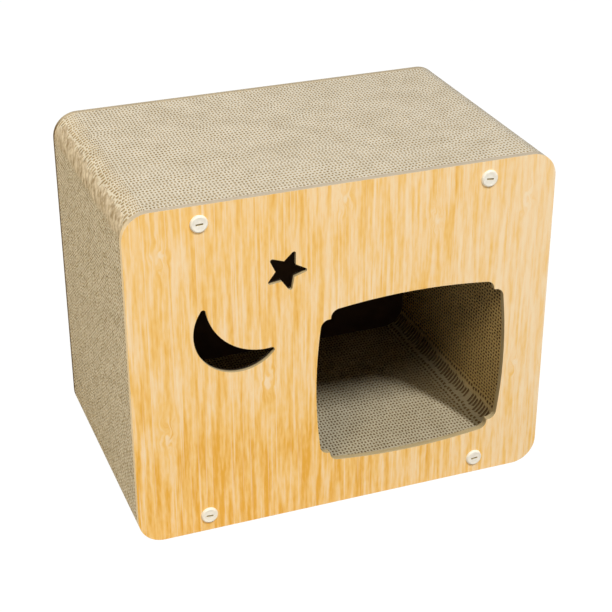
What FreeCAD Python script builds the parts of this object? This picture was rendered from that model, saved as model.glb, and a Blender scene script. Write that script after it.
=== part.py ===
import FreeCAD, Part
import math
import os
from FreeCAD import Vector

# Cardboard cat house: a glued stack of corrugated board rings between two boards, held by plastic screws.
# Millimetres. Z is up, the doorway faces -Y, and the origin is the middle of the footprint on the floor.

# the house
house_width = 400.0
house_height = 325.0
house_corner_radius = 24.0
cabin_depth = 240.0

# the corrugated blocks, which stand one behind the other round the cabin, each of them four glued rings of board
block_count = 12
wall_thickness = 33.0
cabin_corner_radius = 24.0

# the two boards
panel_thickness = 6.0

# the doorway is a tall opening and a wide one, laid over each other, so each corner has a step
doorway_width = 188.4
doorway_height = 167.6
doorway_step = 13.8
doorway_side_bow = 5.1
doorway_top_bow = 5.6
doorway_corner_radius = 8.5
doorway_nose_radius = 0.8
doorway_sill = 9.7
doorway_middle_share = 0.1625

# the crescent is a disc less a larger disc
moon_radius = 41.7
moon_bite_radius = 53.8
moon_bite_offset = 38.4
moon_bite_turn = 52.2
moon_horn_radius = 2.5
moon_place_shares = (-0.2515, 0.623)

# the star, measured to where its points would be if they were sharp
star_radius = 22.1
star_valley_radius = 10.05
star_point_count = 5
star_turn = 66.0
star_tip_radius = 1.9
star_place_shares = (-0.1425, 0.7727)

# the screws, whose axes stand this far in from the house's sides and run through the middle of floor and roof
screw_inset = 66.3
screw_head_radius = 8.0
screw_head_height = 2.2
screw_slot_length = 6.6
screw_slot_width = 1.5
screw_slot_depth = 1.5
screw_shank_radius = 3.5
screw_shank_length = 22.0
screw_hole_clearance = 0.15
screw_slot_turns = (-3.0, 5.0, 2.0, -6.0)

# how far a cutting shape runs past what it cuts
overrun = 2.0

# angles, in degrees
full_turn = 360.0
quarter_turn = 90.0
parallel_tolerance = 1.0

block_depth = cabin_depth / block_count
front_face = -cabin_depth / 2 - panel_thickness
back_face = cabin_depth / 2 + panel_thickness
screw_height = wall_thickness / 2
screw_reach = screw_shank_length - panel_thickness
middle_height = house_height / 2


def prism(outline, front, depth):
    """Solid of a closed outline in the XZ plane, from y = front to y = front + depth."""
    face = Part.Face(Part.Wire(Part.__sortEdges__(outline)))
    face.translate(Vector(0, front, 0))
    return face.extrude(Vector(0, depth, 0))


def edges_along_y(solid):
    """The straight edges that run from front to back."""
    least_share = math.cos(math.radians(parallel_tolerance))
    return [edge for edge in solid.Edges
            if len(edge.Vertexes) == 2
            and abs(edge.tangentAt(edge.FirstParameter).y) > least_share]


def arc_or_line(start, middle, end):
    """An arc through three points, or a line where they lie in one row."""
    if (middle - start).cross(end - start).Length < Part.Precision.confusion():
        return Part.LineSegment(start, end).toShape()
    return Part.Arc(start, middle, end).toShape()


def bowed_rectangle(width, height, side_bow, top_bow):
    """Outline whose four sides bow out by side_bow or top_bow. width and height are between its corners."""
    x = width / 2
    z = height / 2
    corners = [Vector(x, 0, z), Vector(-x, 0, z), Vector(-x, 0, -z), Vector(x, 0, -z)]
    crowns = [Vector(0, 0, z + top_bow), Vector(-x - side_bow, 0, 0),
              Vector(0, 0, -z - top_bow), Vector(x + side_bow, 0, 0)]
    following = corners[1:] + corners[:1]
    return [arc_or_line(a, crown, b) for a, crown, b in zip(corners, crowns, following)]


def rounded_block(width, height, radius, front, depth):
    """A block standing on z = -height / 2, its front-to-back edges rounded."""
    block = prism(bowed_rectangle(width, height, 0, 0), front, depth)
    return block.makeFillet(radius, edges_along_y(block))


def house_block(front, depth):
    """The outer shape of the house, standing on the floor."""
    block = rounded_block(house_width, house_height, house_corner_radius, front, depth)
    block.translate(Vector(0, 0, middle_height))
    return block


def cabin_block(front, depth):
    """The space inside the rings."""
    block = rounded_block(house_width - 2 * wall_thickness, house_height - 2 * wall_thickness,
                          cabin_corner_radius, front, depth)
    block.translate(Vector(0, 0, middle_height))
    return block


def screw_places():
    """Axes of the four screws of a panel, as (name, x, z)."""
    places = []
    reach = house_width / 2 - screw_inset
    for level, z in (("bottom", screw_height), ("top", house_height - screw_height)):
        for side, x in (("left", -reach), ("right", reach)):
            places.append((level + "_" + side, x, z))
    return places


def screw_holes(front, depth):
    """Round bars that cut the holes for the shanks."""
    return [Part.makeCylinder(screw_shank_radius + screw_hole_clearance, depth + 2 * overrun,
                              Vector(x, front - overrun, z), Vector(0, 1, 0))
            for name, x, z in screw_places()]


def corrugated_block(number):
    """A block of glued rings of corrugated board. Only the blocks that the shanks reach have holes."""
    front = -cabin_depth / 2 + number * block_depth
    block = house_block(front, block_depth)
    block = block.cut(cabin_block(front - overrun, block_depth + 2 * overrun))
    blocks_outside = min(number, block_count - 1 - number)
    if blocks_outside * block_depth < screw_reach:
        block = block.cut(screw_holes(front, block_depth))
    return block


def doorway_cutter():
    """The doorway: bowed sides, and corners stepped between two quarter rounds."""
    depth = panel_thickness + 2 * overrun
    front = front_face - overrun
    narrow = doorway_width - 2 * doorway_step
    low = doorway_height - 2 * doorway_step
    tall_shape = prism(bowed_rectangle(narrow, doorway_height - 2 * doorway_top_bow, 0, doorway_top_bow),
                       front, depth)
    tall_shape = tall_shape.makeFillet(doorway_corner_radius, edges_along_y(tall_shape))
    wide_shape = prism(bowed_rectangle(doorway_width - 2 * doorway_side_bow, low, doorway_side_bow, 0),
                       front, depth)
    wide_shape = wide_shape.makeFillet(doorway_corner_radius, edges_along_y(wide_shape))
    opening = tall_shape.fuse(wide_shape).removeSplitter()
    noses = [edge for edge in edges_along_y(opening)
             if abs(abs(edge.Vertexes[0].X) - narrow / 2) < doorway_nose_radius
             and abs(abs(edge.Vertexes[0].Z) - low / 2) < doorway_nose_radius]
    opening = opening.makeFillet(doorway_nose_radius, noses)
    opening.translate(Vector(doorway_middle_share * house_width, 0,
                             wall_thickness + doorway_sill + doorway_height / 2))
    return opening


def moon_cutter():
    """A crescent whose horns point up to the right, with rounded tips."""
    depth = panel_thickness + 2 * overrun
    front = front_face - overrun
    disc = Part.makeCylinder(moon_radius, depth, Vector(0, front, 0), Vector(0, 1, 0))
    turn = math.radians(moon_bite_turn)
    bite = Part.makeCylinder(moon_bite_radius, depth + 2 * overrun,
                             Vector(moon_bite_offset * math.cos(turn), front - overrun,
                                    moon_bite_offset * math.sin(turn)),
                             Vector(0, 1, 0))
    moon = disc.cut(bite)
    axis = Vector(math.cos(turn), 0, math.sin(turn))
    horns = [edge for edge in edges_along_y(moon)
             if edge.Vertexes[0].Point.dot(axis) > -moon_radius / 2]
    moon = moon.makeFillet(moon_horn_radius, horns)
    across, up = moon_place_shares
    moon.translate(Vector(across * house_width, 0, up * house_height))
    return moon


def star_cutter():
    """A star with rounded tips."""
    points = []
    for index in range(2 * star_point_count):
        radius = star_radius if index % 2 == 0 else star_valley_radius
        turn = math.radians(star_turn) + index * math.pi / star_point_count
        points.append(Vector(radius * math.cos(turn), 0, radius * math.sin(turn)))
    following = points[1:] + points[:1]
    outline = [Part.LineSegment(a, b).toShape() for a, b in zip(points, following)]
    star = prism(outline, front_face - overrun, panel_thickness + 2 * overrun)
    middle = (star_radius + star_valley_radius) / 2
    tips = [edge for edge in edges_along_y(star)
            if math.hypot(edge.Vertexes[0].X, edge.Vertexes[0].Z) > middle]
    star = star.makeFillet(star_tip_radius, tips)
    across, up = star_place_shares
    star.translate(Vector(across * house_width, 0, up * house_height))
    return star


def front_panel():
    panel = house_block(front_face, panel_thickness)
    return panel.cut([doorway_cutter(), moon_cutter(), star_cutter()]
                     + screw_holes(front_face, panel_thickness))


def back_panel():
    panel = house_block(back_face - panel_thickness, panel_thickness)
    return panel.cut(screw_holes(back_face - panel_thickness, panel_thickness))


def screw():
    """A screw on the Z axis, its head's seat at z = 0 and its shank below."""
    top = screw_head_height
    tip = -screw_shank_length
    profile = [Vector(0, 0, tip), Vector(screw_shank_radius, 0, tip), Vector(screw_shank_radius, 0, 0),
               Vector(screw_head_radius, 0, 0), Vector(screw_head_radius, 0, top), Vector(0, 0, top)]
    face = Part.Face(Part.makePolygon(profile + profile[:1]))
    solid = face.revolve(Vector(0, 0, 0), Vector(0, 0, 1), full_turn)
    slot = Part.makeBox(screw_slot_length, screw_slot_width, screw_slot_depth + overrun,
                        Vector(-screw_slot_length / 2, -screw_slot_width / 2, top - screw_slot_depth))
    return solid.cut(slot)


def driven_screw(x, z, seat, slot_turn):
    """A screw whose head rests on the house's front or back, at y = seat."""
    solid = screw()
    solid.rotate(Vector(0, 0, 0), Vector(0, 0, 1), slot_turn)
    solid.rotate(Vector(0, 0, 0), Vector(1, 0, 0), math.copysign(quarter_turn, -seat))
    solid.translate(Vector(x, seat, z))
    return solid


def sub_parts():
    parts = {"front_panel": front_panel(), "back_panel": back_panel()}
    for number in range(block_count):
        parts["corrugated_block_%02d" % (number + 1)] = corrugated_block(number)
    for (name, x, z), turn in zip(screw_places(), screw_slot_turns):
        parts["front_screw_" + name] = driven_screw(x, z, front_face, turn)
        parts["back_screw_" + name] = driven_screw(x, z, back_face, turn)
    return parts


os.makedirs("parts", exist_ok=True)
for node, shape in sub_parts().items():
    shape.exportStep("parts/" + node + ".step")
    print(node, "solids", len(shape.Solids), "valid", shape.isValid(), "volume", round(shape.Volume))
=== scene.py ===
import math

import bmesh
import bpy
from mathutils import Matrix, Vector, noise


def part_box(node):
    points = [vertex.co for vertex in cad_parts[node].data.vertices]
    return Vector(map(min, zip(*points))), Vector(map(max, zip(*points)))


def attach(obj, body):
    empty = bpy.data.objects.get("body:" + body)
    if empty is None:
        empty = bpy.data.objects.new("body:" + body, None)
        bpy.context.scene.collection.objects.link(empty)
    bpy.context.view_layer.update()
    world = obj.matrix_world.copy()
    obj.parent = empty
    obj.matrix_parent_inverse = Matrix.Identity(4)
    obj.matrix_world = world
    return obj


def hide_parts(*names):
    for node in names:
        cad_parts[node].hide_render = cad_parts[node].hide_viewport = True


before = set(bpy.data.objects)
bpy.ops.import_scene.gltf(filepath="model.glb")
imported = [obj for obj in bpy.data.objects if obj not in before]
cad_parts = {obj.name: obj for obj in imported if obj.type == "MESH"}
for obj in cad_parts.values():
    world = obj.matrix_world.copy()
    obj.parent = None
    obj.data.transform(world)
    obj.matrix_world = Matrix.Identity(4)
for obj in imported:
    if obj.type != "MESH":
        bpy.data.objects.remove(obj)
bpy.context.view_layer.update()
print("frame loaded:", len(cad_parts), "nodes")

cutTolerance = 1e-7
mergeDistance = 1e-6


# shader expressions

class Value:   # what one socket carries: sums, products and quotients of values add their Math nodes
    def __init__(self, surface, socket):
        self.surface = surface
        self.socket = socket

    def math(self, operation, *values):
        return self.surface.node("ShaderNodeMath", {"operation": operation}, dict(enumerate(values)))

    def __add__(self, other):
        return self.math("ADD", self, other)

    def __radd__(self, other):
        return self.math("ADD", other, self)

    def __sub__(self, other):
        return self.math("SUBTRACT", self, other)

    def __rsub__(self, other):
        return self.math("SUBTRACT", other, self)

    def __mul__(self, other):
        return self.math("MULTIPLY", self, other)

    def __rmul__(self, other):
        return self.math("MULTIPLY", other, self)

    def __truediv__(self, other):
        return self.math("DIVIDE", self, other)

    def exp(self):
        return self.math("EXPONENT", self)

    def largest(self, other):
        return self.math("MAXIMUM", self, other)

    def between(self, low, high):   # 0 below low, 1 above high, a soft step from one to the other
        return self.surface.node("ShaderNodeMapRange", {"interpolation_type": "SMOOTHSTEP"},
                                 {"Value": self, "From Min": low, "From Max": high})


class Surface:
    def __init__(self, name):
        self.material = bpy.data.materials.new(name)
        self.material.use_nodes = True
        self.tree = self.material.node_tree
        self.tree.nodes.clear()
        self.place = self.node("ShaderNodeTexCoord", {}, {}, "Object")
        self.x, self.y, self.z = (self.node("ShaderNodeSeparateXYZ", {}, {"Vector": self.place}, axis)
                                  for axis in "XYZ")

    def node(self, kind, settings, sockets, output=0):
        made = self.tree.nodes.new(kind)
        for setting, value in settings.items():
            if setting == "stops":
                ramp = made.color_ramp
                while len(ramp.elements) < len(value):
                    ramp.elements.new(0.5)
                for element, (position, colour) in zip(ramp.elements, value):
                    element.position = position
                    element.color = linear(colour)
            else:
                setattr(made, setting, value)
        for key, value in sockets.items():
            target = made.inputs[key] if isinstance(key, int) else next(
                s for s in made.inputs if key in (s.identifier, s.name))
            if isinstance(value, Value):
                self.tree.links.new(value.socket, target)
            else:
                target.default_value = value
        return Value(self, made.outputs[output])

    def vector(self, x, y, z):
        return self.node("ShaderNodeCombineXYZ", {}, {"X": x, "Y": y, "Z": z})

    def cloud(self, place, scale, detail=2.0, roughness=0.5):   # soft noise about 0.5
        return self.node("ShaderNodeTexNoise", {"noise_dimensions": "3D"},
                         {"Vector": place, "Scale": scale, "Detail": detail, "Roughness": roughness}, "Fac")

    def ramp(self, value, stops):
        return self.node("ShaderNodeValToRGB", {"stops": stops}, {"Fac": value})

    def mix(self, share, first, second, blend="MIX"):
        first, second = (c if isinstance(c, Value) else linear(c) for c in (first, second))
        return self.node("ShaderNodeMix", {"data_type": "RGBA", "blend_type": blend},
                         {"Factor_Float": share, "A_Color": first, "B_Color": second}, 2)

    def finish(self, colour, roughness, height, depth, specular):
        shader = self.tree.nodes.new("ShaderNodeBsdfPrincipled")
        bump = self.node("ShaderNodeBump", {}, {"Height": height, "Distance": depth, "Strength": 1.0})
        sockets = {"Base Color": colour, "Roughness": roughness, "Normal": bump,
                   "Specular IOR Level": specular}
        for name, value in sockets.items():
            if isinstance(value, Value):
                self.tree.links.new(value.socket, shader.inputs[name])
            else:
                shader.inputs[name].default_value = value
        end = self.tree.nodes.new("ShaderNodeOutputMaterial")
        self.tree.links.new(shader.outputs[0], end.inputs["Surface"])
        return self.material


# a colour written as it looks on the screen, 0 to 255, as the linear colour that nodes take
def linear(colour):
    parts = [c / 255 for c in colour[:3]]
    return tuple(c / 12.92 if c <= 0.04045 else ((c + 0.055) / 1.055) ** 2.4 for c in parts) + (1.0,)


# camera, lamps and floor

studio = {"cameraPlace": (-0.46301, -1.24583, 0.84405), "cameraTurn": (-20.735, 27.751, -0.106),
          "lens": 91.16, "sensor": 36.0, "farClip": 50.0, "aimHeight": 0.16, "skyStrength": 0.035,
          "floorReach": 6.0, "floorShade": 0.55, "floorGlow": 0.94, "floorWhite": 1.06}
lamps = {"softbox": {"turn": 18.0, "rise": 52.5, "reach": 9.0, "wide": 0.54, "tall": 2.16, "power": 632.0,
                     "colour": (1, 1, 1)},
         "side_fill": {"turn": -100.0, "rise": 30.0, "reach": 3.0, "wide": 1.0, "tall": 1.0, "power": 35.0,
                       "colour": (1.0, 0.82, 0.51)},
         "front_fill": {"turn": -42.0, "rise": 44.0, "reach": 3.0, "wide": 0.9, "tall": 0.9, "power": 24.0,
                        "colour": (1.0, 0.88, 0.68)}}


def placeCamera():
    turn, tilt, roll = (math.radians(a) for a in studio["cameraTurn"])
    lens = bpy.data.cameras.new("camera")
    lens.lens = studio["lens"]
    lens.sensor_width = studio["sensor"]
    lens.clip_end = studio["farClip"]
    camera = bpy.data.objects.new("camera", lens)
    pose = (Matrix.Rotation(turn, 4, "Z") @ Matrix.Rotation(math.pi / 2 - tilt, 4, "X")
            @ Matrix.Rotation(roll, 4, "Z"))
    camera.matrix_world = Matrix.Translation(studio["cameraPlace"]) @ pose
    bpy.context.collection.objects.link(camera)
    bpy.context.scene.camera = camera


def placeLamps():
    for name, plan in lamps.items():
        lamp = bpy.data.lights.new(name, "AREA")
        lamp.shape = "ELLIPSE"
        lamp.size = plan["wide"]
        lamp.size_y = plan["tall"]
        lamp.energy = plan["power"]
        lamp.color = plan["colour"]
        holder = bpy.data.objects.new(name, lamp)
        side, rise = math.radians(plan["turn"]), math.radians(plan["rise"])
        towards = Vector((math.sin(side) * math.cos(rise), -math.cos(side) * math.cos(rise), math.sin(rise)))
        aim = Vector((0, 0, studio["aimHeight"]))
        holder.matrix_world = (Matrix.Translation(aim + towards * plan["reach"])
                               @ towards.to_track_quat("Z", "Y").to_matrix().to_4x4())
        bpy.context.collection.objects.link(holder)


def lightSky():   # white where it is seen or mirrored, and dim as a lamp
    world = bpy.data.worlds.new("studio")
    world.use_nodes = True
    tree = world.node_tree
    tree.nodes.clear()
    path = tree.nodes.new("ShaderNodeLightPath")
    seen = path.outputs["Is Camera Ray"]
    for ray in ("Is Glossy Ray", "Is Transmission Ray"):
        add = tree.nodes.new("ShaderNodeMath")
        add.operation = "MAXIMUM"
        tree.links.new(seen, add.inputs[0])
        tree.links.new(path.outputs[ray], add.inputs[1])
        seen = add.outputs[0]
    strength = tree.nodes.new("ShaderNodeMapRange")
    strength.inputs["To Min"].default_value = studio["skyStrength"]
    strength.inputs["To Max"].default_value = 1.0
    tree.links.new(seen, strength.inputs["Value"])
    sky = tree.nodes.new("ShaderNodeBackground")
    sky.inputs["Color"].default_value = (1, 1, 1, 1)
    tree.links.new(strength.outputs[0], sky.inputs["Strength"])
    out = tree.nodes.new("ShaderNodeOutputWorld")
    tree.links.new(sky.outputs[0], out.inputs["Surface"])
    bpy.context.scene.world = world


def layFloor():   # to the camera it is mostly plain white, and to the object a matt floor
    floorMaterial = bpy.data.materials.new("pale floor")
    floorMaterial.use_nodes = True
    tree = floorMaterial.node_tree
    tree.nodes.clear()
    path = tree.nodes.new("ShaderNodeLightPath")
    matt = tree.nodes.new("ShaderNodeBsdfDiffuse")
    matt.inputs["Color"].default_value = (studio["floorShade"],) * 3 + (1,)
    glow = tree.nodes.new("ShaderNodeEmission")
    glow.inputs["Strength"].default_value = studio["floorWhite"]
    share = tree.nodes.new("ShaderNodeMath")
    share.operation = "MULTIPLY"
    share.inputs[1].default_value = studio["floorGlow"]
    tree.links.new(path.outputs["Is Camera Ray"], share.inputs[0])
    blend = tree.nodes.new("ShaderNodeMixShader")
    tree.links.new(share.outputs[0], blend.inputs[0])
    tree.links.new(matt.outputs[0], blend.inputs[1])
    tree.links.new(glow.outputs[0], blend.inputs[2])
    out = tree.nodes.new("ShaderNodeOutputMaterial")
    tree.links.new(blend.outputs[0], out.inputs["Surface"])
    bm = bmesh.new()
    bmesh.ops.create_grid(bm, x_segments=1, y_segments=1, size=studio["floorReach"])
    floor = meshObject("studio_floor", bm, [floorMaterial])


def meshObject(name, bm, materials, smoothAngle=None):
    mesh = bpy.data.meshes.new(name)
    bm.to_mesh(mesh)
    bm.free()
    for material in materials:
        mesh.materials.append(material)
    if smoothAngle is not None:
        mesh.shade_smooth()
        mesh.set_sharp_from_angle(angle=math.radians(smoothAngle))
    made = bpy.data.objects.new(name, mesh)
    bpy.context.collection.objects.link(made)
    return made


def dress(piece, slot, *nodes):   # hands a finished piece over to the frame
    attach(piece, "root")
    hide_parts(*nodes)


# cuts faces that lie in one plane, and returns what is left of them inside all the cuts
def cutFaces(bm, faces, cuts):
    for point, normal in cuts:
        geom = faces + list({e for f in faces for e in f.edges}) + list({v for f in faces for v in f.verts})
        cut = bmesh.ops.bisect_plane(bm, geom=geom, dist=cutTolerance, plane_co=point, plane_no=normal)
        halves = [f for f in cut["geom"] if isinstance(f, bmesh.types.BMFace)]
        faces = [f for f in halves if (f.calc_center_median() - point).dot(normal) < 0]
    return faces


placeCamera()
placeLamps()
lightSky()
layFloor()
bpy.context.scene.view_settings.view_transform = "Standard"
print("studio ready")


# corrugated blocks: each is four rings of board, and each ring two liners with a fluted sheet between them

blocks = {"count": 12, "rings": 4, "width": 0.400, "height": 0.325, "corner": 0.024, "wall": 0.033,
          "cabinCorner": 0.024, "cornerSteps": 12, "ring": 0.005, "play": 0.00004, "smoothAngle": 40,
          "reach": 0.29,   # half the side of a sheet before it is cut
          "flatAngle": 0.01, "edgewise": 0.02,   # the most a cut edge's normal points forwards or back
          # the sheets: thickness of a liner, least thickness of a crest, where a flute's wall is full and
          # where it has its foot, counted in flutes from its middle, flute to flute, and slant in degrees
          "liner": 0.0007, "crest": 0.0007, "lean": (0.098, 0.148), "pitch": 0.00483, "rise": 49.0,
          # past close from the middle the flutes stand closer by a share, with thinner walls
          "close": 0.2395, "closer": 0.5, "thinWalls": 0.6,
          # stray places of the flutes: size, frequency, step from ring to ring and place in the noise
          "shift": -0.00055, "wander": (0.0010, 18, 0.15, 0.5), "jitter": (0.0007, 60, 3.7, 8.5),
          "fray": (0.0002, 1500, 5.3, 2.5), "burr": 0.7, "burrScale": 70,
          # the crushed edge, in degrees round the corner, and the frequency and place of its stray ends
          "pressed": (44.0, 92.0), "pressedStray": 16.0, "strayNoise": ((90, 2.5, 0.5), (60, 9.5, 4.5)),
          "pressedFade": 6.0, "pressedDepth": 0.001}
# cabinFloorShade and cabinWallShade: painted shade multiplied onto the paper inside the cabin
edgePaper = {"pale": (230, 225, 212), "dark": (206, 199, 182), "fibre": 900.0, "roughness": 0.95,
             "cabinFloorShade": (224, 218, 200), "cabinWallShade": (252, 224, 164)}
facePaper = {"pale": (188, 171, 140), "dark": (158, 139, 106), "fibre": 500.0, "roughness": 0.9,
             "cabinFloorShade": (196, 186, 168), "cabinWallShade": (132, 104, 66)}
# slitShade: the paper's brown in the open splits of the crushed edges, darkened as painted shade
pressedPaper = {"pale": (226, 216, 198), "dark": (182, 168, 146), "slitShade": (136, 110, 86), "fibre": 300.0,
                "roughness": 0.9, "cabinFloorShade": (224, 218, 200), "cabinWallShade": (252, 224, 164)}
paperLook = {"stains": 45.0, "fibreShare": 0.7, "stainShare": 0.35, "shade": (0.3, 0.75),
             "slant": 1.7, "streaks": (170.0, 26.0, 3.0), "streakShare": 0.8, "streakFibre": 0.4,
             "streakShade": (0.42, 0.78), "slitShades": (240.0, 50.0, 9.0), "slitShadeFrom": (0.64, 0.74),
             "slitShadeShare": 0.8, "mottle": 170.0, "mottleFrom": (0.46, 0.68), "mottleTint": (220, 214, 201),
             "sideSquare": (0.036, 0.0385),   # of x, so that only the two sides are mottled
             "cabinShadeFade": (-0.0022, -0.0015), "wallShadeFade": (0.002, 0.024),
             "bump": 0.0001, "specular": 0.2}


def paperMaterial(name, paper):
    look = paperLook
    s = Surface(name)
    fibres = s.cloud(s.place, paper["fibre"], 3.0, 0.6)
    stains = s.cloud(s.place, look["stains"])
    shade = (fibres * look["fibreShare"] + stains * look["stainShare"]).between(*look["shade"])
    if "slitShade" in paper:   # crushed edges are streaked slantwise, and split here and there, with painted shade in the splits
        across = s.y - s.z * look["slant"]
        along = s.y * look["slant"] + s.z
        fine, long, seed = look["streaks"]
        streaks = s.cloud(s.vector(across * fine, along * long, seed), 1.0)
        shade = (streaks * look["streakShare"] + fibres * look["streakFibre"]).between(*look["streakShade"])
    colour = s.mix(shade, paper["dark"], paper["pale"])
    if "slitShade" in paper:
        # painted shade: dark brown streaks where the crushed edge lies split open
        fine, long, seed = look["slitShades"]
        slitShades = s.cloud(s.vector(across * fine, along * long, seed), 1.0, 1.0).between(*look["slitShadeFrom"])
        colour = s.mix(slitShades * look["slitShadeShare"], colour, paper["slitShade"])
    mottle = (s.cloud(s.place, look["mottle"]).between(*look["mottleFrom"])
              * (s.x * s.x).between(*look["sideSquare"]))
    colour = s.mix(mottle, colour, look["mottleTint"], "MULTIPLY")
    halfWidth = blocks["width"] / 2 - blocks["wall"]   # of the cabin, whose walls and floor get painted shade, the walls darker and browner
    halfHeight = blocks["height"] / 2 - blocks["wall"]
    height = s.z - blocks["height"] / 2
    # painted shade inside the cabin: the floor a little darker, the walls darker and browner
    inside = ((halfWidth * halfWidth - s.x * s.x).between(*look["cabinShadeFade"])
              * (halfHeight * halfHeight - height * height).between(*look["cabinShadeFade"]))
    tint = s.mix((s.z - blocks["wall"]).between(*look["wallShadeFade"]), paper["cabinFloorShade"], paper["cabinWallShade"])
    colour = s.mix(inside, colour, tint, "MULTIPLY")
    return s.finish(colour, paper["roughness"], fibres, look["bump"], look["specular"])


# the flat cuts that leave a rounded rectangle, as (point, outward)
def roundedPlanes(width, height, corner, steps):
    middle = Vector((0, 0, blocks["height"] / 2))
    planes = []
    for side in range(4):
        turn = side * math.pi / 2
        normal = Vector((math.cos(turn), 0, math.sin(turn)))
        planes.append((middle + normal * (width / 2 if side % 2 == 0 else height / 2), normal))
    for side in range(4):
        across = 1 if side in (0, 3) else -1
        up = 1 if side in (0, 1) else -1
        centre = middle + Vector((across * (width / 2 - corner), 0, up * (height / 2 - corner)))
        for step in range(steps):
            turn = side * math.pi / 2 + (step + 0.5) / steps * math.pi / 2
            normal = Vector((math.cos(turn), 0, math.sin(turn)))
            planes.append((centre + normal * corner * math.cos(math.pi / 4 / steps), normal))
    return planes


def cutToRing(bm):
    width, height, wall = blocks["width"], blocks["height"], blocks["wall"]
    for point, normal in roundedPlanes(width, height, blocks["corner"], blocks["cornerSteps"]):
        bmesh.ops.bisect_plane(bm, geom=bm.verts[:] + bm.edges[:] + bm.faces[:], dist=cutTolerance,
                               plane_co=point, plane_no=normal, clear_outer=True)
    hole = roundedPlanes(width - 2 * wall, height - 2 * wall, blocks["cabinCorner"], blocks["cornerSteps"])
    bmesh.ops.delete(bm, geom=cutFaces(bm, bm.faces[:], hole), context="FACES")


# 1 on the two outer edges that run nearly along the flutes, which lie crushed there, and 0 elsewhere
def pressedFlat(place, y):
    x, z = place.x, place.z - blocks["height"] / 2
    if x > 0:
        x, z = -x, -z
    left = blocks["width"] / 2 - blocks["corner"] + x
    up = z - (blocks["height"] / 2 - blocks["corner"])
    if left < 0 < up and abs(math.hypot(left, up) - blocks["corner"]) < blocks["pressedDepth"]:
        turn = math.degrees(math.atan2(-left, up))
        low, high = (end + blocks["pressedStray"] * noise.noise(Vector((y * frequency, *spot)))
                     for end, (frequency, *spot) in zip(blocks["pressed"], blocks["strayNoise"]))
        return min(max(min(turn - low, high - turn) / blocks["pressedFade"], 0.0), 1.0)
    return 0.0


def paperOf(face):   # 0 the face of the paper, 1 a cut edge, 2 a crushed one
    if abs(face.normal.y) > blocks["edgewise"]:
        return 0
    middle = face.calc_center_median()
    return 2 if pressedFlat(middle, middle.y) > 0.5 else 1


def linerSheet(y):   # a flat ring of paper whose front is at y
    bm = bmesh.new()
    bmesh.ops.create_grid(bm, x_segments=1, y_segments=1, size=blocks["reach"])
    bmesh.ops.transform(bm, verts=bm.verts, matrix=Matrix.Translation((0, y, blocks["height"] / 2))
                        @ Matrix.Rotation(math.pi / 2, 4, "X"))
    cutToRing(bm)
    bmesh.ops.dissolve_limit(bm, angle_limit=blocks["flatAngle"], verts=bm.verts, edges=bm.edges)
    out = bmesh.ops.extrude_face_region(bm, geom=bm.faces[:], use_keep_orig=True)
    bmesh.ops.translate(bm, verts=[v for v in out["geom"] if isinstance(v, bmesh.types.BMVert)],
                        vec=(0, blocks["liner"], 0))
    bmesh.ops.recalc_face_normals(bm, faces=bm.faces)
    for face in bm.faces:
        face.material_index = paperOf(face)
    return bm


def stray(kind, s, number):   # how far the flutes of a ring stand from their even places
    size, frequency, step, seed = blocks[kind]
    return size * noise.noise(Vector((s * frequency, number * step, seed)))


def flutedSheet(y, number):   # the waved sheet in the middle of ring number, its flutes rising to the right
    bm = bmesh.new()
    phase = bm.verts.layers.float.new("phase")   # counts the flutes, and cuts keep it
    pitch = blocks["pitch"]
    flutes = int(blocks["reach"] / pitch)
    near, far = blocks["lean"]
    stops = (near, far, 0.5 - far, 0.5 - near, 0.5 + near, 0.5 + far, 1 - far, 1 - near)
    rise = math.radians(blocks["rise"])
    across = Vector((math.sin(rise), 0, -math.cos(rise)))
    along = Vector((math.cos(rise), 0, math.sin(rise)))
    bmesh.ops.create_grid(bm, x_segments=2 * flutes * len(stops), y_segments=1, size=flutes * pitch)
    for v in bm.verts:
        flute, stop = divmod(round(v.co.x / pitch * len(stops)), len(stops))
        v[phase] = flute + stops[stop]
        s = v[phase] * pitch
        past = abs(s) - blocks["close"]
        if past > 0:
            s -= (math.copysign(past * (1 - blocks["closer"]), s) + blocks["thinWalls"] * blocks["closer"]
                  * pitch * math.sin(4 * math.pi * v[phase]) / (4 * math.pi))
        # the shift lets a flute lie open along the cabin's rounded edges
        v.co.x = (s + blocks["shift"] + stray("wander", s, number) + stray("jitter", s, number)
                  + stray("fray", s, number))
    turn = Matrix((across, along, Vector((0, -1, 0)))).transposed().to_4x4()
    bmesh.ops.transform(bm, verts=bm.verts, matrix=Matrix.Translation((0, 0, blocks["height"] / 2)) @ turn)
    cutToRing(bm)
    out = bmesh.ops.extrude_face_region(bm, geom=bm.faces[:], use_keep_orig=True)
    behind = {v for v in out["geom"] if isinstance(v, bmesh.types.BMVert)}
    room = blocks["ring"] / 2 - blocks["liner"]
    scale = blocks["burrScale"]
    for v in bm.verts:
        lean = math.asin(math.sin(2 * math.pi * v[phase])) / (2 * math.pi)
        crest = blocks["crest"] * (1 + blocks["burr"] * noise.noise(Vector((v.co.x * scale, y * scale,
                                                                            v.co.z * scale))))
        side = 1 if v in behind else -1
        share = min(max((far + side * lean) / (far - near), pressedFlat(v.co, y)), 1)
        v.co.y = y + side * (crest - room + (2 * room - crest) * share)
    bmesh.ops.recalc_face_normals(bm, faces=bm.faces)
    for face in bm.faces:
        face.material_index = paperOf(face)
    return bm


def addTo(whole, part):
    loose = bpy.data.meshes.new("loose")
    part.to_mesh(loose)
    part.free()
    whole.from_mesh(loose)
    bpy.data.meshes.remove(loose)


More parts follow.
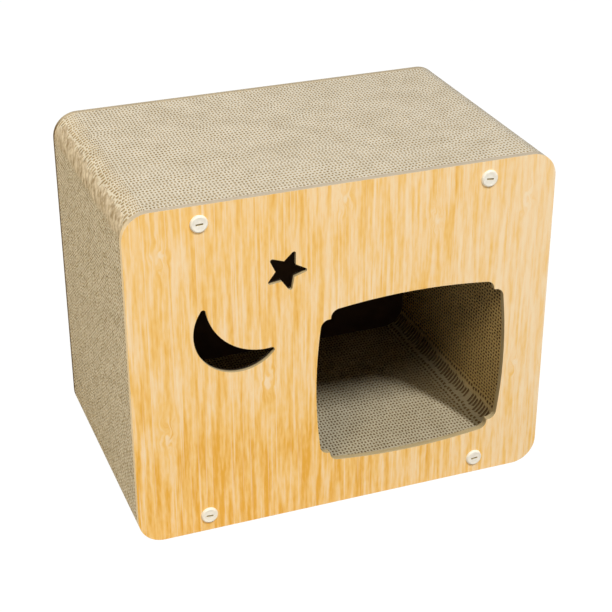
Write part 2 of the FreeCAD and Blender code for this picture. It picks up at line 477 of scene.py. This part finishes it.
def buildBlocks():
    papers = [paperMaterial("kraft paper face", facePaper), paperMaterial("cut paper edge", edgePaper),
              paperMaterial("crushed paper edge", pressedPaper)]
    front = -blocks["count"] * blocks["rings"] * blocks["ring"] / 2
    for block in range(blocks["count"]):
        whole = bmesh.new()
        for ring in range(blocks["rings"]):
            number = block * blocks["rings"] + ring
            y = front + number * blocks["ring"]
            addTo(whole, linerSheet(y + blocks["play"] / 2))
            addTo(whole, flutedSheet(y + blocks["ring"] / 2, number))
            addTo(whole, linerSheet(y + blocks["ring"] - blocks["play"] / 2 - blocks["liner"]))
        piece = meshObject("fluted_block_%02d" % (block + 1), whole, papers, blocks["smoothAngle"])
        dress(piece, "corrugated_board", "corrugated_block_%02d" % (block + 1))
    print("blocks of corrugated board:", blocks["count"], "triangles in one:",
          sum(len(p.vertices) - 2 for p in piece.data.polygons))


buildBlocks()


# the two boards with the printed wood grain

boards = {"edgeRound": 0.0008, "edgeSteps": 3, "flatAngle": 1.0, "smoothAngle": 35,
          # the share of a face's normal that points forwards or back: flat sides before the bevel, flat sides
          # after it, and the most on an edge
          "flatOn": 0.9, "facing": 0.98, "edgewise": 0.02,
          "backShift": 0.731,   # how far the back's print is moved sideways
          "innerHalf": 0.19, "innerLow": 0.01, "innerHigh": 0.315,   # the cut-outs' rims lie within these
          "fibres": 1400.0, "layers": (60.0, 1500.0), "layerShare": 0.6, "fibreShade": (0.4, 0.85),
          "sideSquare": (0.0353, 0.0398),   # of x: the edges at the left and right, not on top and below
          # rimShade: painted shade on the rims of the small cut-outs, behind their front edge
          "rimShadeFrom": 0.1236, "rimShadeFade": 0.0018, "rimShadeLeft": -0.02, "rimShadeSide": 0.004,
          "bump": 0.00005, "specular": 0.25}
woodPrint = {"tones": [(0.0, (254, 228, 187)), (0.3, (252, 217, 162)),
                       (0.62, (249, 203, 122)), (1.0, (238, 177, 67))],
             "cream": (253, 232, 200), "roughness": 0.45, "bump": 0.00002, "specular": 0.3,
             # frequency across the grain, place in the noise, frequency along it
             "grain": {"slow": (14.0, 0.0, 6.0), "swirl": (150.0, 5.0, 75.0), "bands": (105.0, 3.0, 6.0),
                       "streaks": (225.0, 7.0, 17.0), "lines": (520.0, 11.0, 24.0),
                       "dashes": (420.0, 13.0, 90.0), "hairs": (1700.0, 17.0, 100.0),
                       "wide": (9.0, 23.0, 6.0), "pale": (520.0, 31.0, 7.0)},
             "shares": {"bands": 0.70, "streaks": 0.50, "lines": 0.18, "dashes": 0.20, "hairs": 0.14,
                        "wide": 0.40},
             "crisp": (0.3, 0.7), "paleFrom": (0.56, 0.70), "paleShare": 0.5,
             # low, right, left: the print is deeper towards the bottom and the left and paler towards the
             # right, partly its own tone and partly painted light from the key lamp on the right
             "low": (0.13, -0.05, 0.08), "right": (0.08, 0.0, 0.1), "left": (-0.02, -0.1, 0.1),
             "contrast": 0.95, "contrastLow": 0.10, "contrastRight": 0.15,
             "level": 0.43, "levelLow": 0.10, "levelLowLeft": 0.16, "levelLeft": 0.05, "levelRight": 0.20,
             "knots": [(-0.169, 0.282), (-0.004, 0.312), (0.084, 0.279), (0.172, 0.282), (-0.075, 0.146),
                       (-0.169, 0.108), (0.172, 0.113)],
             "knotSize": (0.0075, 0.016), "knotGlow": 1.6, "knotFrom": (0.62, 1.0), "knotShare": 0.7,
             "bend": 0.0022, "knotBend": 0.022}
frontEdge = {"pale": (246, 230, 200), "dark": (232, 212, 178), "crownTint": (208, 213, 226), "roughness": 0.8}
backEdge = {"pale": (196, 184, 162), "dark": (172, 160, 136), "sideTint": (150, 136, 112), "roughness": 0.8}
# the rounding between print and edge: a pale cream, partly worn print and partly a painted highlight line
wornHighlitEdge = {"pale": (246, 226, 186), "dark": (226, 200, 150), "roughness": 0.7}
# the boards' inner faces: the unprinted board's brown, made darker with painted shade for the cabin's dark
# inside
shadedBacking = {"pale": (78, 56, 38), "dark": (58, 41, 27), "roughness": 0.75}
# the cut-outs' rims; rimShade is painted shade, near black, behind the front edge of the small ones
cutRim = {"pale": (204, 186, 146), "dark": (178, 158, 116), "rimShade": (34, 24, 14), "roughness": 0.8}


def grain(s, x, z, name):   # one layer of the print, drawn out along the grain
    across, seed, along = woodPrint["grain"][name]
    return s.cloud(s.vector(x * across, seed, z * along), 1.0, 1.0)


def printMaterial(name, shift):   # shift moves the grain sideways, so that the two boards differ
    look = woodPrint
    s = Surface(name)
    x = s.x + shift
    z = s.z
    swirl = grain(s, x, z, "swirl")
    bend = (grain(s, x, z, "slow") - 0.5) * look["bend"]
    figure = 0.0   # 1 in the middle of a knot
    for across, up in look["knots"]:
        u = (s.x - across) / look["knotSize"][0]
        w = (z - up) / look["knotSize"][1]
        near = ((u * u + w * w) * -1.0).exp()
        figure = near.largest(figure)
    x = x + bend + figure * (swirl - 0.5) * look["knotBend"]
    layers = {kind: grain(s, x, z, kind) for kind in look["shares"]}
    for kind in ("streaks", "lines", "dashes"):
        layers[kind] = layers[kind].between(*look["crisp"])
    tone = sum((layers[kind] - 0.5) * share for kind, share in look["shares"].items())
    # paler and flatter towards the right, deeper towards the left and the bottom: partly the print's own
    # tone, partly painted light falling from the right
    edge, start, end = look["low"]
    low = (edge - z).between(start, end)
    edge, start, end = look["right"]
    right = (s.x - edge).between(start, end)
    edge, start, end = look["left"]
    left = (edge - s.x).between(start, end)
    tone = (tone * (low * look["contrastLow"] + look["contrast"] - right * look["contrastRight"])
            + look["level"] + low * (left * look["levelLowLeft"] + look["levelLow"])
            + left * look["levelLeft"] - right * look["levelRight"])
    colour = s.ramp(tone, look["tones"])
    pale = grain(s, x, z, "pale").between(*look["paleFrom"])
    colour = s.mix(pale * look["paleShare"], colour, look["cream"])
    glow = (figure * (swirl * look["knotGlow"])).between(*look["knotFrom"])
    colour = s.mix(glow * look["knotShare"], colour, look["cream"])
    return s.finish(colour, look["roughness"], layers["hairs"], look["bump"], look["specular"])


def boardMaterial(name, plan):   # pressed fibres in fine layers
    s = Surface(name)
    fibres = s.cloud(s.place, boards["fibres"], 3.0, 0.65)
    wide, fine = boards["layers"]
    layers = s.cloud(s.vector(s.x * wide, s.y * fine, s.z * wide), 1.0, 2.0)
    shade = (fibres * boards["layerShare"] + layers * boards["layerShare"]).between(*boards["fibreShade"])
    colour = s.mix(shade, plan["dark"], plan["pale"])
    sides = (s.x * s.x).between(*boards["sideSquare"])
    for share, tint in ((sides, "sideTint"), (1.0 - sides, "crownTint")):
        if tint in plan:
            colour = s.mix(share, colour, plan[tint], "MULTIPLY")
    if "rimShade" in plan:   # the small cut-outs, left of the doorway, get painted shade behind their front edge
        rimShadeShare = ((s.y + boards["rimShadeFrom"]).between(0.0, boards["rimShadeFade"])
                 * (boards["rimShadeLeft"] - s.x).between(0.0, boards["rimShadeSide"]))
        colour = s.mix(rimShadeShare, colour, plan["rimShade"])
    return s.finish(colour, plan["roughness"], fibres, boards["bump"], boards["specular"])


# 0 the print, 1 the outer edge, 2 the rounding between face and edge, 3 the inner side, 4 a cut-out's rim
def boardLayer(face, outward):
    facing = face.normal.y * outward
    if facing > boards["facing"]:
        return 0
    if facing < -boards["facing"]:
        return 3
    if abs(facing) > boards["edgewise"]:
        return 2
    middle = face.calc_center_median()
    inner = abs(middle.x) < boards["innerHalf"] and boards["innerLow"] < middle.z < boards["innerHigh"]
    return 4 if inner else 1


def buildBoard(name, node, materials):
    bm = bmesh.new()
    bm.from_mesh(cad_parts[node].data)
    bmesh.ops.remove_doubles(bm, verts=bm.verts, dist=mergeDistance)
    bmesh.ops.dissolve_limit(bm, angle_limit=math.radians(boards["flatAngle"]), verts=bm.verts,
                             edges=bm.edges)
    bm.faces.ensure_lookup_table()
    rims = [e for e in bm.edges if len(e.link_faces) == 2
            and sum(abs(f.normal.y) > boards["flatOn"] for f in e.link_faces) == 1]
    bmesh.ops.bevel(bm, geom=rims, offset=boards["edgeRound"], offset_type="OFFSET", affect="EDGES",
                    segments=boards["edgeSteps"], profile=0.5, material=-1, clamp_overlap=True)
    outward = -1 if node == "front_panel" else 1
    for face in bm.faces:
        face.material_index = boardLayer(face, outward)
    piece = meshObject(name, bm, materials, boards["smoothAngle"])
    for polygon in piece.data.polygons:
        polygon.use_smooth = polygon.material_index not in (0, 3)
    dress(piece, "printed_board", node)
    print(name, "polygons", len(piece.data.polygons))


def buildBoards():
    # the rounding: worn print with a painted highlight line
    wornHighlit = boardMaterial("print edge with wear and painted highlight", wornHighlitEdge)
    # the inner faces: brown board with painted shade
    bareShaded = boardMaterial("brown board back with painted shade", shadedBacking)
    rim = boardMaterial("cut rim", cutRim)
    for side, edge, shift in (("front", frontEdge, 0.0), ("back", backEdge, boards["backShift"])):
        buildBoard(side + "_board", side + "_panel",
                   [printMaterial("wood print " + side, shift), boardMaterial(side + " board edge", edge),
                    wornHighlit, bareShaded, rim])


buildBoards()


# screws

screws = {"inset": 0.0663, "height": 0.0165, "turns": (-3, 5, 2, -6), "steps": 40, "smoothAngle": 35,
          # radius and height round the head, from the dished middle to the seat and in to the core
          "rim": [(0.0048, 0.00198), (0.0054, 0.00204), (0.0059, 0.00215), (0.0063, 0.00220),
                  (0.0068, 0.00208), (0.0073, 0.00170), (0.0077, 0.00110), (0.0079, 0.00050),
                  (0.0080, 0.0), (0.0029, 0.0)],
          "coreRadius": 0.0029, "coreEnd": -0.0185, "tipEnd": -0.0220, "tipRadius": 0.0009,
          "slotLength": 0.0066, "slotWidth": 0.0015, "slotDepth": 0.0014, "slotDraft": 0.00012,
          "threadStart": -0.0030, "threadEnd": -0.0180, "threadPitch": 0.0028, "threadOut": 0.0035,
          "threadSink": 0.0003, "threadFoot": 0.0006, "threadCrest": 0.0001, "threadSteps": 24}
# slot: a darker colour for the slot's faces, painted shade in the recess and some grime
plastic = {"colour": (250, 247, 236), "shade": (242, 238, 226), "slot": (186, 170, 126), "roughness": 0.33,
           "roughnessFlow": 0.1, "flow": 260.0, "flowShade": (0.35, 0.7), "grain": 2500.0, "bump": 0.00001,
           "specular": 0.5}


def plasticMaterial(name, dark, pale):
    s = Surface(name)
    flow = s.cloud(s.place, plastic["flow"])
    grit = s.cloud(s.place, plastic["grain"])
    colour = s.mix(flow.between(*plastic["flowShade"]), dark, pale)
    roughness = flow * plastic["roughnessFlow"] + plastic["roughness"]
    return s.finish(colour, roughness, grit, plastic["bump"], plastic["specular"])


def screwBody():   # its head's seat at z = 0, its shank below
    bm = bmesh.new()
    profile = screws["rim"] + [(screws["coreRadius"], screws["coreEnd"]),
                               (screws["tipRadius"], screws["tipEnd"])]
    verts = [bm.verts.new((r, 0, h)) for r, h in profile]
    edges = [bm.edges.new(pair) for pair in zip(verts, verts[1:])]
    bmesh.ops.spin(bm, geom=verts + edges, cent=(0, 0, 0), axis=(0, 0, 1), angle=2 * math.pi,
                   steps=screws["steps"], use_merge=True)
    bmesh.ops.remove_doubles(bm, verts=bm.verts, dist=mergeDistance)
    bmesh.ops.holes_fill(bm, edges=bm.edges[:], sides=screws["steps"] + 1)
    # only the two filled ends have more than four corners, and the upper one is the head's dish
    dish = max((f for f in bm.faces if len(f.verts) > 4), key=lambda f: f.calc_center_median().z)
    cuts = []
    for length, axis in ((screws["slotLength"], Vector((1, 0, 0))), (screws["slotWidth"], Vector((0, 1, 0)))):
        cuts += [(axis * (length / 2), axis), (axis * (-length / 2), -axis)]
    inside = cutFaces(bm, [dish], cuts)
    walls = bmesh.ops.inset_region(bm, faces=inside, thickness=screws["slotDraft"],
                                   depth=-screws["slotDepth"], use_even_offset=True)["faces"]
    for face in inside + walls:
        face.material_index = 1
    bmesh.ops.recalc_face_normals(bm, faces=bm.faces)
    return bm


def screwThread():   # a low ridge, sunk a little into the core
    bm = bmesh.new()
    start, end = screws["threadStart"], screws["threadEnd"]
    foot, crest = screws["threadFoot"], screws["threadCrest"]
    sunk, out = screws["coreRadius"] - screws["threadSink"], screws["threadOut"]
    verts = [bm.verts.new(p) for p in ((sunk, 0, start - foot), (out, 0, start - crest),
                                       (out, 0, start + crest), (sunk, 0, start + foot))]
    edges = [bm.edges.new(pair) for pair in zip(verts, verts[1:] + verts[:1])]
    turns = (start - end) / screws["threadPitch"]
    steps = int(turns * screws["threadSteps"])
    bmesh.ops.spin(bm, geom=verts + edges, cent=(0, 0, 0), axis=(0, 0, 1), angle=2 * math.pi * turns,
                   steps=steps, dvec=(0, 0, (end - start) / steps))
    bmesh.ops.holes_fill(bm, edges=bm.edges[:], sides=len(verts))
    bmesh.ops.recalc_face_normals(bm, faces=bm.faces)
    return bm


def buildScrews():
    white = plasticMaterial("white moulded plastic", plastic["shade"], plastic["colour"])
    # the slot's faces are darker: painted shade in the recess, and grime
    slotShadeAndGrime = plasticMaterial("slot with painted shade and grime", plastic["slot"], plastic["slot"])
    low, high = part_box("front_panel")[0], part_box("back_panel")[1]
    reach = blocks["width"] / 2 - screws["inset"]
    places = [(level + "_" + hand, x, z)
              for level, z in (("bottom", screws["height"]), ("top", blocks["height"] - screws["height"]))
              for hand, x in (("left", -reach), ("right", reach))]
    for side, y, facing in (("front", low.y, math.pi / 2), ("back", high.y, -math.pi / 2)):
        for (corner, x, z), turn in zip(places, screws["turns"]):
            bm = screwBody()
            addTo(bm, screwThread())
            place = (Matrix.Translation((x, y, z)) @ Matrix.Rotation(facing, 4, "X")
                     @ Matrix.Rotation(math.radians(turn), 4, "Z"))
            bmesh.ops.transform(bm, verts=bm.verts, matrix=place)
            name = side + "_screw_" + corner
            piece = meshObject("white_" + name, bm, [white, slotShadeAndGrime], screws["smoothAngle"])
            dress(piece, "white_plastic", name)
    print("screws:", 2 * len(places))


buildScrews()
